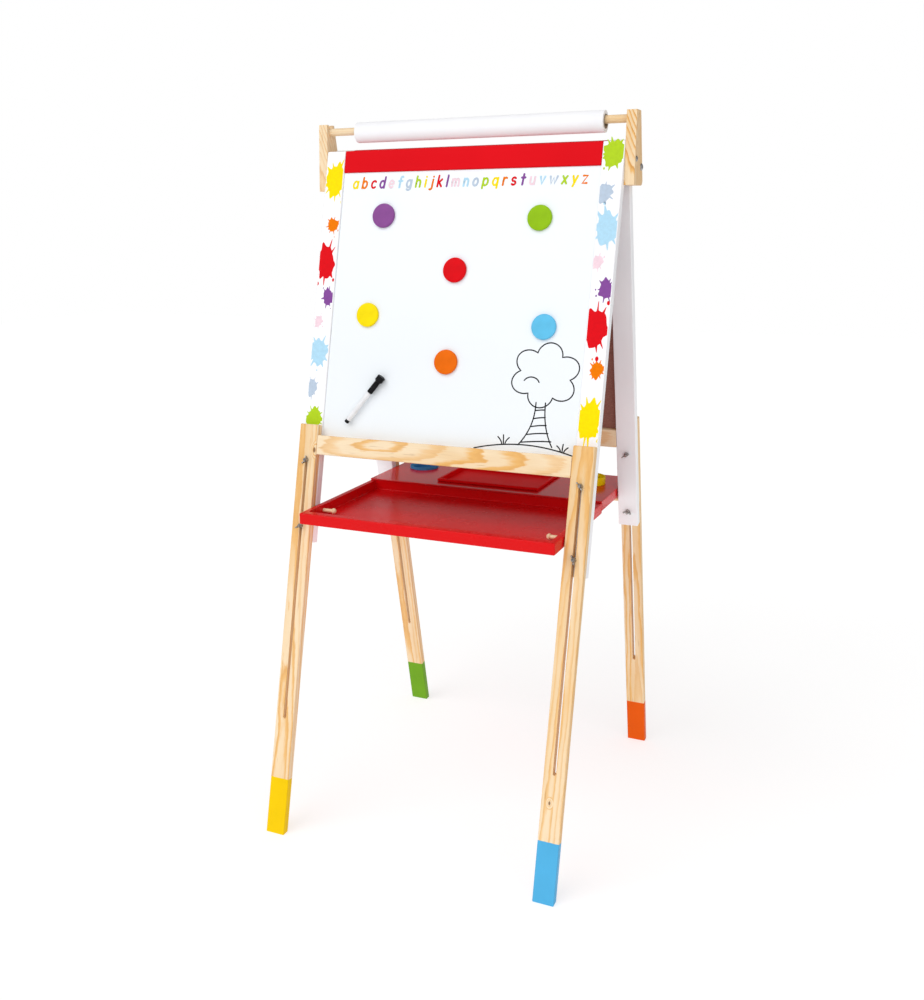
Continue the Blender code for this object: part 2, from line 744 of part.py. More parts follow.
def make_insert():
    """The shallow dish dropped into the deck: a raised rim round a sunken floor."""
    middle_x, middle_y = INSERT_CENTRE
    half_x, half_y = INSERT_SIZE[0] / 2, INSERT_SIZE[1] / 2
    seat = DECK_TOP_Z + GAP
    rim = level_box(
        "insert_dish",
        (middle_x - half_x, middle_y - half_y, seat),
        (middle_x + half_x, middle_y + half_y, seat + INSERT_RIM_HEIGHT), RED,
    )
    soften(rim, EDGE_ROUND, 2)
    outer_x, outer_y = half_x - INSERT_RIM, half_y - INSERT_RIM
    bowl = level_box(
        "insert_bowl",
        (middle_x - outer_x, middle_y - outer_y, INSERT_FLOOR_Z - INSERT_FLOOR),
        (middle_x + outer_x, middle_y + outer_y, seat + INSERT_RIM_HEIGHT / 2),
    )
    combine(rim, bowl, "UNION")
    inner_x, inner_y = outer_x - INSERT_WALL, outer_y - INSERT_WALL
    recess = level_box(
        "insert_recess",
        (middle_x - inner_x, middle_y - inner_y, INSERT_FLOOR_Z),
        (middle_x + inner_x, middle_y + inner_y, seat + INSERT_RIM_HEIGHT + PAST),
    )
    combine(rim, recess)


def make_pots():
    """Straight cups whose shoulder stands on the deck."""
    seat = DECK_TOP_Z + GAP
    floor = POT_BOTTOM_Z + POT_WALL
    inner, lower_inner = POT_RADIUS - POT_WALL, POT_LOWER_RADIUS - POT_WALL
    for colour, (x, y) in POT_CENTRES.items():
        top = DECK_TOP_Z + POT_RISES[colour]
        profile = [
            (0.0, floor),
            (lower_inner - 0.002, floor),
            (lower_inner, floor + 0.002),
            (lower_inner, seat + POT_WALL),
            (inner, seat + POT_WALL + 0.002),
            (inner, top - 0.0006),
            (inner + 0.0005, top),
            (POT_RADIUS - 0.0005, top),
            (POT_RADIUS, top - 0.0006),
            (POT_RADIUS, seat),
            (POT_LOWER_RADIUS, seat),
            (POT_LOWER_RADIUS, POT_BOTTOM_Z + 0.001),
            (POT_LOWER_RADIUS - 0.001, POT_BOTTOM_Z),
            (0.0, POT_BOTTOM_Z),
        ]
        place = Matrix.Translation((x, y, 0.0))
        smooth(turned(f"pot_{colour}", profile, level, plastic(colour), place, 28))


# Pegs and rest pins

def peg_place():
    """Where the peg axis crosses the front stile's middle, in level coordinates."""
    down = peg_down()
    return Vector((
        0.0,
        FRONT_TOP_Y - down * sin(FRONT_LEAN) + STILE_DEPTH / 2 * cos(FRONT_LEAN),
        PEG_Z,
    ))


def make_pegs():
    """Mushroom pegs that go out through the tray's side walls into the front stiles."""
    spot = peg_place()
    wall = TRAY_HALF_WIDTH - TRAY_SIDE_WALL
    neck = wall - PEG_STICK_OUT
    length = INNER_HALF + PEG_IN_STILE - neck
    profile = rod_profile(PEG_RADIUS, length, PEG_HEAD_RADIUS, PEG_HEAD_LENGTH)
    for side, sign in SIDES.items():
        aim = Euler((0, -sign * pi / 2, 0)).to_matrix().to_4x4()
        place = Matrix.Translation((sign * neck, spot.y, spot.z)) @ aim
        smooth(turned(f"tray_peg_{side}", profile, level, PINE, place, 16))


def make_pins():
    """Pins in the rear stiles that the deck's skirt rests on."""
    down = pin_down()
    for side, sign in SIDES.items():
        start = sign * (INNER_HALF + PIN_IN_STILE)
        end = sign * (INNER_HALF + PIN_IN_STILE - PIN_LENGTH)
        name = f"rest_pin_{side}"
        y, z = STILE_DEPTH / 2 + REAR_CORNER.y, REAR_CORNER.z - down
        mesh = rod_mesh(name, PIN_RADIUS, (start, y, z), (end, y, z), 16)
        smooth(soften(keep(name, mesh, rear, PINE), 0.0008, 1))


# Magnets and marker pen

def make_magnets():
    face = BOARD_RECESS - GAP
    radius, height = MAGNET_RADIUS, MAGNET_THICKNESS
    edge = arc((radius - 0.0015, height - 0.0015), 0.0015, pi / 2, 0.0, 2)
    profile = [(0.0, height), *edge, (radius, 0.0), (0.0, 0.0)]
    turn = Euler((pi / 2, 0, 0)).to_matrix().to_4x4()
    for colour, (across, down) in MAGNETS.items():
        place = Matrix.Translation((across, face, -down)) @ turn
        smooth(turned(f"magnet_{colour}", profile, front, plastic(colour), place, 28))


def make_marker():
    """A slim pen with a nib under a cap that ends in a wider eraser."""
    end = Vector((MARKER_END[0], 0.0, -MARKER_END[1]))
    tip = Vector((MARKER_TIP[0], 0.0, -MARKER_TIP[1]))
    length = (tip - end).length
    depth = BOARD_RECESS - GAP - MARKER_ERASER_RADIUS
    aim = (tip - end).to_track_quat("Z", "Y").to_matrix().to_4x4()
    place = Matrix.Translation(end + Vector((0, depth, 0))) @ aim
    plug = [
        (0.0, MARKER_PLUG_LENGTH), (0.0042, MARKER_PLUG_LENGTH), (0.0042, 0.0012),
        (0.0030, 0.0), (0.0, 0.0),
    ]
    smooth(turned("marker_plug", plug, front, BLACK, place, 16))
    body_start, body_end = MARKER_PLUG_LENGTH + GAP, MARKER_BODY_LENGTH
    nib = body_end + 0.016
    body = [
        (0.0, nib), (0.0010, nib - 0.0005), (0.0018, nib - 0.004), (0.0030, nib - 0.006),
        (0.0032, body_end), (MARKER_BODY_RADIUS, body_end - 0.001),
        (MARKER_BODY_RADIUS, body_start), (0.0, body_start),
    ]
    smooth(turned("marker_body", body, front, WHITE, place, 16))
    mouth, inner_end = body_end + GAP, nib + 0.002
    shoulder = length - MARKER_ERASER_LENGTH
    cap = [
        (0.0, length), (MARKER_ERASER_RADIUS - 0.001, length),
        (MARKER_ERASER_RADIUS, length - 0.001), (MARKER_ERASER_RADIUS, shoulder),
        (MARKER_CAP_RADIUS, shoulder - 0.001), (MARKER_CAP_RADIUS, mouth),
        (0.0036, mouth), (0.0036, inner_end), (0.0, inner_end),
    ]
    smooth(turned("marker_cap", cap, front, BLACK, place, 16))


make_frame("front")
make_frame("rear")
make_fasteners("front")
make_fasteners("rear")
for bracket_side in SIDES:
    make_bracket(bracket_side)
make_roll()
make_tray()
make_deck()
make_insert()
make_pots()
make_pegs()
make_pins()
make_magnets()
make_marker()
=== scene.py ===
"""Looks of the children's double-sided easel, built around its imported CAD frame.

Metres, in the frame's own coordinates. The prints on a leaning face are drawn in that face's plane:
X across, Y up the stile from its top (so downwards is negative) and Z out of the face.
"""

import json
from math import cos, exp, pi, radians, sin, tau
from random import Random

import bmesh
import bpy
from mathutils import Euler, Matrix, Vector


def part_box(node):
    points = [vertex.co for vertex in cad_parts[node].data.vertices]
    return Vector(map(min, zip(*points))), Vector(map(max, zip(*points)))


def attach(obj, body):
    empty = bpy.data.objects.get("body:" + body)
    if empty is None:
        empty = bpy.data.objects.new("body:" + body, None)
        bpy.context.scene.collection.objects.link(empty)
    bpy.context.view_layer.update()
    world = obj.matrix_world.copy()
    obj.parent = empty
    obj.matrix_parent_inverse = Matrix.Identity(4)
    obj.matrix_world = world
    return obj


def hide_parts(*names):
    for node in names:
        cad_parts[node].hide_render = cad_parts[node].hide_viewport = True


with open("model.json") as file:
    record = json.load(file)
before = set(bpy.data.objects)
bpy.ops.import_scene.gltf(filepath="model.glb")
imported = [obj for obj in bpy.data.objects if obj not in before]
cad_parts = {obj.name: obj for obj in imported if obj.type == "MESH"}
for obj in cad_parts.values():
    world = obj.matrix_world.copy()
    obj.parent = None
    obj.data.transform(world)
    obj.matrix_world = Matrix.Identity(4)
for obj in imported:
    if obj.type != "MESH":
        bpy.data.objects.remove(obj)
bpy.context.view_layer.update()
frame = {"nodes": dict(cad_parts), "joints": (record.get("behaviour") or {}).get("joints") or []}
NODES = frame["nodes"]

# Camera: where it stands, how it is turned, and how its frame is shifted
CAMERA_PLACE = (0.7576, -1.7833, 1.1126)
CAMERA_YAW = radians(24.22)
CAMERA_PITCH = radians(13.70)
CAMERA_ROLL = radians(-0.475)
CAMERA_LENS = 37.706
CAMERA_SHIFT = (0.0129, -0.0227)

# Light
WORLD_CAMERA_LEVEL = 1.0
WORLD_LIGHT_LEVEL = 0.42
SUNS = {                    # strength, angle across, and where each shines from
    "key": (1.28, radians(50), (-0.90, -1.70, 1.95)),
    "fill": (0.62, radians(60), (1.10, -1.50, 0.95)),
}
FLOOR_GLOW = 0.66
FLOOR_HALF = 9.0
FLOOR_DROP = 0.0002

# Colours, as linear red, green and blue
INKS = {
    "yellow": (0.98, 0.76, 0.00),
    "orange": (0.88, 0.20, 0.00),
    "red": (0.75, 0.004, 0.010),
    "purple": (0.24, 0.075, 0.33),
    "pink": (0.90, 0.68, 0.76),
    "light_blue": (0.45, 0.72, 0.90),
    "grey_blue": (0.50, 0.60, 0.73),
    "lime": (0.45, 0.66, 0.02),
    "black": (0.010, 0.010, 0.012),
}
PLASTICS = {
    "purple": (0.260, 0.080, 0.300),
    "green": (0.290, 0.530, 0.010),
    "red": (0.720, 0.003, 0.008),
    "yellow": (0.950, 0.740, 0.004),
    "blue": (0.125, 0.530, 0.820),
    "orange": (0.820, 0.150, 0.004),
}
POTS = {
    # The blue pot's colour is set deeper than its plastic really is: painted shade, standing in for the
    # shade the boards cast on it.
    "blue": (0.060, 0.270, 0.560),
    "yellow": (0.990, 0.800, 0.004),
}
FEET = {
    "leg_front_left": (0.900, 0.590, 0.001),
    "leg_front_right": (0.085, 0.430, 0.740),
    "leg_rear_left": (0.165, 0.390, 0.018),
    "leg_rear_right": (0.800, 0.105, 0.002),
}
WOOD_PALE = (0.870, 0.640, 0.370)
WOOD_CREAM = (0.945, 0.780, 0.550)
WOOD_BAND = (0.860, 0.500, 0.170)
WOOD_LINE = (0.680, 0.320, 0.090)
WOOD_AMBER = (0.880, 0.540, 0.210)
WOOD_FLECK = (0.420, 0.200, 0.070)
WOOD_KNOT = (0.200, 0.085, 0.030)
WHITE_PAINT = (0.960, 0.960, 0.985)
BOARD_WHITE = (0.885, 0.925, 0.962)
BAR_RED = (0.740, 0.004, 0.010)
TRAY_RED = (0.740, 0.004, 0.006)
CHALK_PAINT = (0.016, 0.018, 0.018)
CHALK_DUST = (0.200, 0.210, 0.210)
HARDBOARD = ((0.190, 0.066, 0.048), (0.340, 0.150, 0.112))
STEEL = ((0.220, 0.200, 0.190), (0.520, 0.500, 0.480))
PAPER = ((0.920, 0.920, 0.950), (0.960, 0.960, 0.980))
CARD = ((0.200, 0.160, 0.120), (0.420, 0.340, 0.250))
MARKER_WHITE = (0.860, 0.870, 0.890)
MARKER_BLACK = (0.012, 0.012, 0.013)
FLOOR_GREYS = ((0.45, 0.45, 0.45), (0.47, 0.47, 0.47))

PAINTED_FOOT = 0.105        # how far up each leg the paint reaches


# ---------------------------------------------------------------- faces

def slide_axis(side):
    """The direction up the stiles of the front or rear frame."""
    joint = next(j for j in frame["joints"] if j["name"] == f"leg_{side}_left_slide")
    return Vector(joint["axis"]).normalized()


def face(side, node):
    """Where a leaning face is: X across as its viewer sees it, Y up the stile, Z out of the face.
    The origin is level with the stile's top, on the node's outer surface."""
    up = slide_axis(side)
    across = Vector((1 if side == "front" else -1, 0, 0))
    out = across.cross(up)
    top = max(v.co.dot(up) for v in NODES[f"{side}_stile_left"].data.vertices)
    surface = max(v.co.dot(out) for v in NODES[node].data.vertices)
    place = Matrix((across, up, out)).transposed().to_4x4()
    place.translation = up * top + out * surface
    return place


STILE_FACE = face("front", "front_stile_left")
BOARD_FACE = face("front", "whiteboard")
CHALK_FACE = face("rear", "blackboard")


# ---------------------------------------------------------------- materials

NOISE_SPAN = (0.3, 0.7)


class Paint:
    """A material with a short way to add its nodes."""

    def __init__(self, name):
        self.material = bpy.data.materials.new(name)
        self.material.use_nodes = True
        self.tree = self.material.node_tree
        self.shader = self.tree.nodes["Principled BSDF"]

    def set(self, **values):
        """Sets the shader's own sockets, whose names have spaces where these have underscores."""
        for name, value in values.items():
            self.join(self.shader.inputs[name.replace("_", " ")], value)
        return self

    def join(self, socket, value):
        """Links the socket to another, or sets it to a plain value."""
        if isinstance(value, bpy.types.NodeSocket):
            self.tree.links.new(value, socket)
        elif socket.type == "RGBA":
            socket.default_value = (*value[:3], 1.0)
        else:
            socket.default_value = value

    def node(self, kind, settings=(), **values):
        """Adds a node. settings are its own properties, and values go to its sockets."""
        made = self.tree.nodes.new(kind)
        for name, value in dict(settings).items():
            setattr(made, name, value)
        for name, value in values.items():
            self.join(made.inputs[name.replace("_", " ")], value)
        return made

    def place(self):
        """Where a point is on its own object, in metres."""
        return self.node("ShaderNodeTexCoord").outputs["Object"]

    def turned(self, vector, rotation=(0, 0, 0), move=(0, 0, 0), scale=(1, 1, 1)):
        made = self.node("ShaderNodeMapping", Vector=vector, Location=move, Rotation=rotation, Scale=scale)
        return made.outputs["Vector"]

    def noise(self, vector, scale, detail, roughness=0.5):
        made = self.node("ShaderNodeTexNoise", Vector=vector, Scale=scale, Detail=detail,
                         Roughness=roughness)
        return made.outputs["Fac"]

    def math(self, operation, first, second=0.0, third=0.0):
        """The result of a Math node, whatever its operation."""
        made = self.node("ShaderNodeMath", {"operation": operation})
        for socket, value in zip(made.inputs, (first, second, third)):
            self.join(socket, value)
        return made.outputs[0]

    def ramp(self, value, low, high, out_low=0.0, out_high=1.0, smooth=False):
        kind = "SMOOTHSTEP" if smooth else "LINEAR"
        made = self.node("ShaderNodeMapRange", {"interpolation_type": kind})
        for socket, number in zip(made.inputs, (value, low, high, out_low, out_high)):
            self.join(socket, number)
        return made.outputs[0]

    def spread(self, noise, low=0.0, high=1.0):
        """A noise stretched over low to high. Most of its values lie in NOISE_SPAN."""
        return self.ramp(noise, *NOISE_SPAN, low, high)

    def uneven(self, colour, noise, darker, lighter):
        """A colour whose tone follows a noise, between two factors."""
        return self.mix(self.spread(noise), shade(colour, darker), shade(colour, lighter))

    def mix(self, share, first, second, blend="MIX"):
        made = self.node("ShaderNodeMix", {"data_type": "RGBA", "blend_type": blend})
        self.join(made.inputs[0], share)
        self.join(made.inputs[6], first)
        self.join(made.inputs[7], second)
        return made.outputs[2]

    def parts(self, vector):
        return self.node("ShaderNodeSeparateXYZ", Vector=vector).outputs

    def vector(self, x, y, z):
        return self.node("ShaderNodeCombineXYZ", X=x, Y=y, Z=z).outputs[0]

    def bump(self, height, distance, under=None):
        """A relief that is distance high, on top of the one given as under."""
        made = self.node("ShaderNodeBump", Height=height, Distance=distance)
        if under is not None:
            self.join(made.inputs["Normal"], under)
        return made.outputs["Normal"]


def shade(colour, factor):
    """The colour, made darker or lighter by factor."""
    return tuple(min(1.0, c * factor) for c in colour)


def lacquer(name, colour, roughness, specular, peel=0.000015, grain=0.0, grain_turn=(0, 0, 0)):
    """Sprayed paint: slight changes of tone, orange peel and, on wood, grain that shows through.
    peel and grain are the heights of the last two, in metres."""
    paint = Paint(name)
    place = paint.place()
    tone = paint.noise(place, 7.0, 3.0)
    normal = paint.bump(paint.noise(place, 260.0, 1.0), peel)
    if grain:
        along = paint.turned(paint.turned(place, grain_turn), scale=(520, 520, 14))
        normal = paint.bump(paint.noise(along, 1.0, 3.0), grain, under=normal)
    smears = paint.noise(place, 26.0, 4.0, 0.6)
    paint.set(Base_Color=paint.uneven(colour, tone, 0.955, 1.02),
              Normal=normal,
              Specular_IOR_Level=specular,
              Roughness=paint.spread(smears, roughness * 0.92, roughness * 1.10))
    return paint.material


def ink(name, colour):
    """Printed ink: flat and slightly uneven."""
    paint = Paint(name)
    mottle = paint.noise(paint.place(), 160.0, 3.0)
    tone = paint.ramp(mottle, 0.35, 0.65)
    paint.set(Base_Color=paint.mix(tone, shade(colour, 0.95), shade(colour, 1.03)),
              Roughness=paint.spread(mottle, 0.40, 0.55),
              Specular_IOR_Level=0.06)
    return paint.material


def plastic(name, colour, roughness=0.32):
    """Moulded plastic: a faint texture and a slow change of tone."""
    paint = Paint(name)
    place = paint.place()
    tone = paint.noise(place, 60.0, 2.0)
    pits = paint.noise(place, 1600.0, 2.0)
    paint.set(Base_Color=paint.uneven(colour, tone, 0.93, 1.03),
              Roughness=paint.spread(tone, roughness * 0.85, roughness * 1.15),
              Normal=paint.bump(pits, 0.00002),
              Specular_IOR_Level=0.06)
    return paint.material


# Shares of a growth ring, from its inner side: where late wood sets in and ends, and the same for
# the thin dark line at its outer edge
LATE_IN = (0.36, 0.70)
LATE_OUT = (0.86, 1.00)
LINE_IN = (0.66, 0.84)
LINE_OUT = (0.86, 0.94)
KNOT_STRETCH = 0.55         # a knot's width over its length along the piece


def from_pith(paint, rest, place, pith, tilt, wander):
    """How far each point is from the pith's line."""
    x, y, z = paint.parts(rest)
    slow = paint.turned(place, scale=(9, 9, 1.5))
    sway_x = paint.ramp(paint.noise(slow, 1.0, 2.0), 0, 1, -wander, wander)
    other = paint.turned(slow, move=(7, 3, 5))
    sway_y = paint.ramp(paint.noise(other, 1.0, 2.0), 0, 1, -wander, wander)
    off_x = paint.math("ADD", paint.math("MULTIPLY_ADD", z, tilt[0], pith[0]), paint.math("ADD", x, sway_x))
    off_y = paint.math("ADD", paint.math("MULTIPLY_ADD", z, tilt[1], pith[1]), paint.math("ADD", y, sway_y))
    away = paint.node("ShaderNodeVectorMath", {"operation": "LENGTH"})
    paint.join(away.inputs[0], paint.vector(off_x, off_y, 0.0))
    return away.outputs["Value"]


def bend_round_knots(paint, rest, radius, ring, knots):
    """The rings' radius, pushed aside by each knot, and where the knots' dark cores are."""
    x, _, z = paint.parts(rest)
    cores = []
    for across, along, size in knots:
        away = paint.node("ShaderNodeVectorMath", {"operation": "DISTANCE"})
        paint.join(away.inputs[0], paint.vector(x, 0.0, paint.math("MULTIPLY", z, KNOT_STRETCH)))
        paint.join(away.inputs[1], (across, 0.0, along * KNOT_STRETCH))
        near = paint.ramp(away.outputs["Value"], size, size * 3.2, 1.0, 0.0, True)
        radius = paint.math("MULTIPLY_ADD", near, ring * 1.6, radius)
        cores.append(paint.ramp(away.outputs["Value"], size * 0.55, size * 1.1, 1.0, 0.0, True))
    return radius, cores


def growth_rings(paint, radius, ring, figure, edging):
    """How strong the late wood of the rings is, and the dark line at each ring's edge."""
    count = paint.math("DIVIDE", radius, ring)
    phase = paint.math("FRACT", count)
    late = paint.math("MULTIPLY", paint.ramp(phase, *LATE_IN, 0.0, 1.0, True),
                      paint.ramp(phase, *LATE_OUT, 1.0, 0.0, True))
    line = paint.math("MULTIPLY", paint.ramp(phase, *LINE_IN, 0.0, 1.0, True),
                      paint.ramp(phase, *LINE_OUT, 1.0, 0.0, True))
    each = paint.node("ShaderNodeTexWhiteNoise", {"noise_dimensions": "1D"}, W=paint.math("FLOOR", count))
    strength = paint.ramp(each.outputs["Value"], 0, 1, 0.35 * figure, 0.95 * figure)
    late = paint.math("MULTIPLY", late, strength)
    line = paint.math("MULTIPLY", line, paint.math("MULTIPLY", strength, edging))
    return late, line


def pale_wood(paint, place, figure, warmth):
    """The wood between the rings: cream, with clouds of a deeper tone and long streaks of amber."""
    cloud = paint.noise(paint.turned(place, scale=(16, 16, 3.0)), 1.0, 3.0, 0.6)
    body = paint.mix(paint.ramp(cloud, 0.35, 0.68, smooth=True), WOOD_CREAM, WOOD_PALE)
    streak = paint.noise(paint.turned(place, scale=(24, 24, 4.0)), 1.0, 2.0)
    amber = paint.ramp(streak, 0.52, 0.72, smooth=True)
    least = warmth * 0.5
    return paint.mix(paint.ramp(amber, 0, 1, least, least + 0.4 * figure), body, WOOD_AMBER)


def pine(node, turn, seed, pith, tilt, ring, figure=1.0, wander=0.018, warmth=0.2, edging=0.4,
         foot=None, knots=()):
    """Clear-lacquered pine. turn brings the piece's length onto Z, and places are from its middle.
    Growth rings, each as wide as ring, run round a pith that stands off the piece by pith, leans by
    tilt and wanders, so that a flat face cuts them into long arches. figure is the rings' contrast,
    edging that of the dark lines at their edges, and warmth the share of amber wood. foot is a painted
    end's colour, and knots are (across, along, radius)."""
    draw = Random(seed)
    paint = Paint(f"pine_{node}")
    upright = Euler(turn).to_matrix()
    points = [upright @ v.co for v in NODES[node].data.vertices]
    low = Vector([min(p[k] for p in points) for k in range(3)])
    high = Vector([max(p[k] for p in points) for k in range(3)])
    rest = paint.turned(paint.place(), turn, -(low + high) / 2)
    place = paint.turned(rest, move=[draw.uniform(-3, 3) for _ in range(3)])

    fray = paint.noise(paint.turned(place, scale=(90, 90, 14)), 1.0, 4.0, 0.6)
    spread = ring * 0.55
    radius = paint.math("ADD", from_pith(paint, rest, place, pith, tilt, wander),
                        paint.ramp(fray, 0, 1, -spread, spread))
    radius, cores = bend_round_knots(paint, rest, radius, ring, knots)
    late, line = growth_rings(paint, radius, ring, figure, edging)
    wood = paint.mix(late, pale_wood(paint, place, figure, warmth), WOOD_BAND)
    wood = paint.mix(line, wood, WOOD_LINE)
    fibres = paint.noise(paint.turned(place, scale=(950, 950, 16)), 1.0, 3.0, 0.6)
    wood = paint.mix(paint.ramp(fibres, 0.25, 0.75, 0.12, 0.0), wood, shade(WOOD_LINE, 0.65), "MULTIPLY")
    flecks = paint.ramp(paint.noise(paint.turned(place, scale=(420, 420, 26)), 1.0, 1.0), 0.70, 0.78)
    wood = paint.mix(paint.math("MULTIPLY", flecks, 0.35), wood, WOOD_FLECK)
    for core in cores:
        wood = paint.mix(paint.math("MULTIPLY", core, 0.85), wood, WOOD_KNOT)
    relief = paint.bump(fibres, 0.00006)
    relief = paint.bump(late, 0.00010, under=relief)
    gloss = paint.ramp(late, 0, 1, 0.46, 0.36)
    if foot is not None:
        level = (low.z - high.z) / 2 + PAINTED_FOOT
        ragged = paint.ramp(paint.noise(place, 300.0, 2.0), 0, 1, -0.0006, 0.0006)
        edge = paint.math("ADD", paint.parts(rest)["Z"], ragged)
        painted = paint.ramp(edge, level - 0.0004, level + 0.0004, 1.0, 0.0)
        wood = paint.mix(painted, wood, paint.uneven(foot, paint.noise(place, 18.0, 3.0), 0.95, 1.03))
        gloss = paint.math("MULTIPLY_ADD", painted, -0.06, gloss)
    paint.set(Base_Color=wood, Normal=relief, Roughness=gloss, Specular_IOR_Level=0.08)
    return paint.material


def whiteboard_film():
    """A glossy dry-wipe film, with the faint smears of wiped ink in its gloss."""
    paint = Paint("whiteboard_film")
    place = paint.place()
    tone = paint.noise(place, 3.0, 3.0)
    wiped = paint.noise(paint.turned(place, (0, radians(35), 0), scale=(5, 5, 60)), 1.0, 4.0, 0.6)
    paint.set(Base_Color=paint.uneven(BOARD_WHITE, tone, 0.985, 1.0),
              Roughness=paint.ramp(wiped, 0.3, 0.75, 0.13, 0.24),
              Normal=paint.bump(paint.noise(place, 240.0, 2.0), 0.000012),
              Specular_IOR_Level=0.35)
    return paint.material


def chalkboard(outward):
    """The blackboard panel: matt chalk paint with a trace of dust on the faces that look outward,
    and brown hardboard on the rest."""
    paint = Paint("chalkboard")
    place = paint.place()
    wiped = paint.noise(paint.turned(place, (0, radians(-28), 0), scale=(9, 9, 42)), 1.0, 5.0, 0.65)
    speck = paint.noise(place, 900.0, 2.0)
    dust = paint.math("MULTIPLY", paint.ramp(wiped, 0.45, 0.80), paint.ramp(speck, 0.35, 0.7, 0.4, 1.0))
    chalk = paint.mix(paint.math("MULTIPLY", dust, 0.30), CHALK_PAINT, CHALK_DUST)
    hair = paint.noise(paint.turned(place, scale=(260, 260, 700)), 1.0, 4.0, 0.7)
    brown = paint.mix(paint.spread(hair), *HARDBOARD)
    facing = paint.node("ShaderNodeNewGeometry").outputs["True Normal"]
    dot = paint.node("ShaderNodeVectorMath", {"operation": "DOT_PRODUCT"})
    paint.join(dot.inputs[0], facing)
    paint.join(dot.inputs[1], outward)
    outside = paint.ramp(dot.outputs["Value"], 0.40, 0.60)
    paint.set(Base_Color=paint.mix(outside, brown, chalk),
              Roughness=paint.spread(speck, 0.72, 0.92),
              Normal=paint.bump(hair, 0.00004, under=paint.bump(speck, 0.00003)))
    return paint.material


def plated_steel():
    """Zinc-plated steel, dulled unevenly."""
    paint = Paint("plated_steel")
    place = paint.place()
    smear = paint.noise(place, 260.0, 4.0, 0.6)
    pits = paint.noise(place, 2600.0, 2.0)
    paint.set(Base_Color=paint.mix(paint.spread(smear), *STEEL),
              Metallic=1.0,
              Roughness=paint.spread(smear, 0.22, 0.42),
              Normal=paint.bump(pits, 0.00002))
    return paint.material


def roll_paper():
    """White drawing paper with a fine tooth."""
    paint = Paint("roll_paper")
    place = paint.place()
    tooth = paint.noise(place, 1400.0, 3.0)
    tone = paint.noise(place, 14.0, 3.0)
    paint.set(Base_Color=paint.mix(paint.spread(tone), *PAPER),
              Roughness=paint.spread(tooth, 0.75, 0.92),
              Normal=paint.bump(tooth, 0.00003))
    return paint.material


def grey_card():
    """The fibrous card of the roll's core."""
    paint = Paint("grey_card")
    place = paint.place()
    fibre = paint.noise(place, 700.0, 4.0, 0.7)
    paint.set(Base_Color=paint.mix(paint.spread(fibre), *CARD),
              Roughness=0.9,
              Normal=paint.bump(fibre, 0.00005))
    return paint.material


# ---------------------------------------------------------------- carried-over CAD nodes

WELD_WITHIN = 0.00001
FLAT_WEIGHT = 80            # how much more a large face counts than a small one in the shading


def dress(node, material, smooth_angle=50):
    """Gives a CAD node its material, and shades its rounds smooth and its flats flat."""
    obj = NODES[node]
    mesh = obj.data
    mesh.materials.clear()
    mesh.materials.append(material)
    normals = mesh.attributes.get("custom_normal")
    if normals:
        mesh.attributes.remove(normals)
    mesh.shade_smooth()
    weld = obj.modifiers.new("weld", "WELD")
    weld.merge_threshold = WELD_WITHIN
    split = obj.modifiers.new("split", "EDGE_SPLIT")
    split.split_angle = radians(smooth_angle)
    even = obj.modifiers.new("even", "WEIGHTED_NORMAL")
    even.weight = FLAT_WEIGHT


def lean_of(side):
    """The turn about X that stands a leaning frame upright."""
    up = slide_axis(side)
    return up.angle(Vector((0, 0, 1))) * (1 if up.y > 0 else -1)


# Each leg's grain: seed, pith, tilt, ring and knots
LEG_GRAIN = {
    "leg_front_left": (3, (0.010, 0.026), (0.010, 0.020), 0.0072, ((0.0150, 0.338, 0.0032),)),
    "leg_front_right": (8, (0.002, 0.020), (-0.016, 0.034), 0.0088, ((-0.004, -0.215, 0.0022),)),
    "leg_rear_left": (21, (0.016, 0.030), (0.010, 0.012), 0.0064, ()),
    "leg_rear_right": (34, (-0.008, 0.026), (0.014, 0.020), 0.0076, ()),
}
BRACKET_GRAIN = {"left": (41, 0.5), "right": (47, 1.35)}    # seed and figure
BRACKET_LEAN = (radians(4), 0, 0)
LEVEL = (0, radians(-90), 0)


def dress_timber():
    for side in ("front", "rear"):
        lean = lean_of(side)
        along, crosswise = (lean, 0, 0), (lean, radians(-90), 0)
        white = lacquer(f"white_paint_{side}", WHITE_PAINT, 0.40, 0.25, 0.00002, 0.00003, along)
        red = lacquer(f"red_bar_paint_{side}", BAR_RED, 0.42, 0.04, 0.00002, 0.00002, crosswise)
        for hand in ("left", "right"):
            dress(f"{side}_stile_{hand}", white)
            leg = f"leg_{side}_{hand}"
            seed, pith, tilt, ring_width, knots = LEG_GRAIN[leg]
            dress(leg, pine(leg, along, seed, pith, tilt, ring_width, warmth=0.25, edging=0.35,
                            foot=FEET[leg], knots=knots))
        rail = f"{side}_rail"
        dress(rail, pine(rail, crosswise, 5, (0.004, 0.030), (0.020, 0.130), 0.0105, figure=1.25,
                         wander=0.034, warmth=-0.7, edging=0.25))
        dress(f"{side}_top_bar", red)
    for hand, (seed, figure) in BRACKET_GRAIN.items():
        bracket = f"bracket_{hand}"
        dress(bracket, pine(bracket, BRACKET_LEAN, seed, (0.020, 0.050), (0.42, 0.06), 0.0060,
                            figure=figure, wander=0.006, edging=0.8))
    dress("roll_rod", pine("roll_rod", LEVEL, 51, (0.030, 0.020), (0.0, 0.004), 0.0040, figure=0.30,
                           warmth=0.0, edging=0.2))
    for name in ("tray_peg_left", "tray_peg_right", "rest_pin_left", "rest_pin_right"):
        dress(name, pine(name, LEVEL, 60, (0.010, 0.020), (0.0, 0.0), 0.0030, figure=0.3))


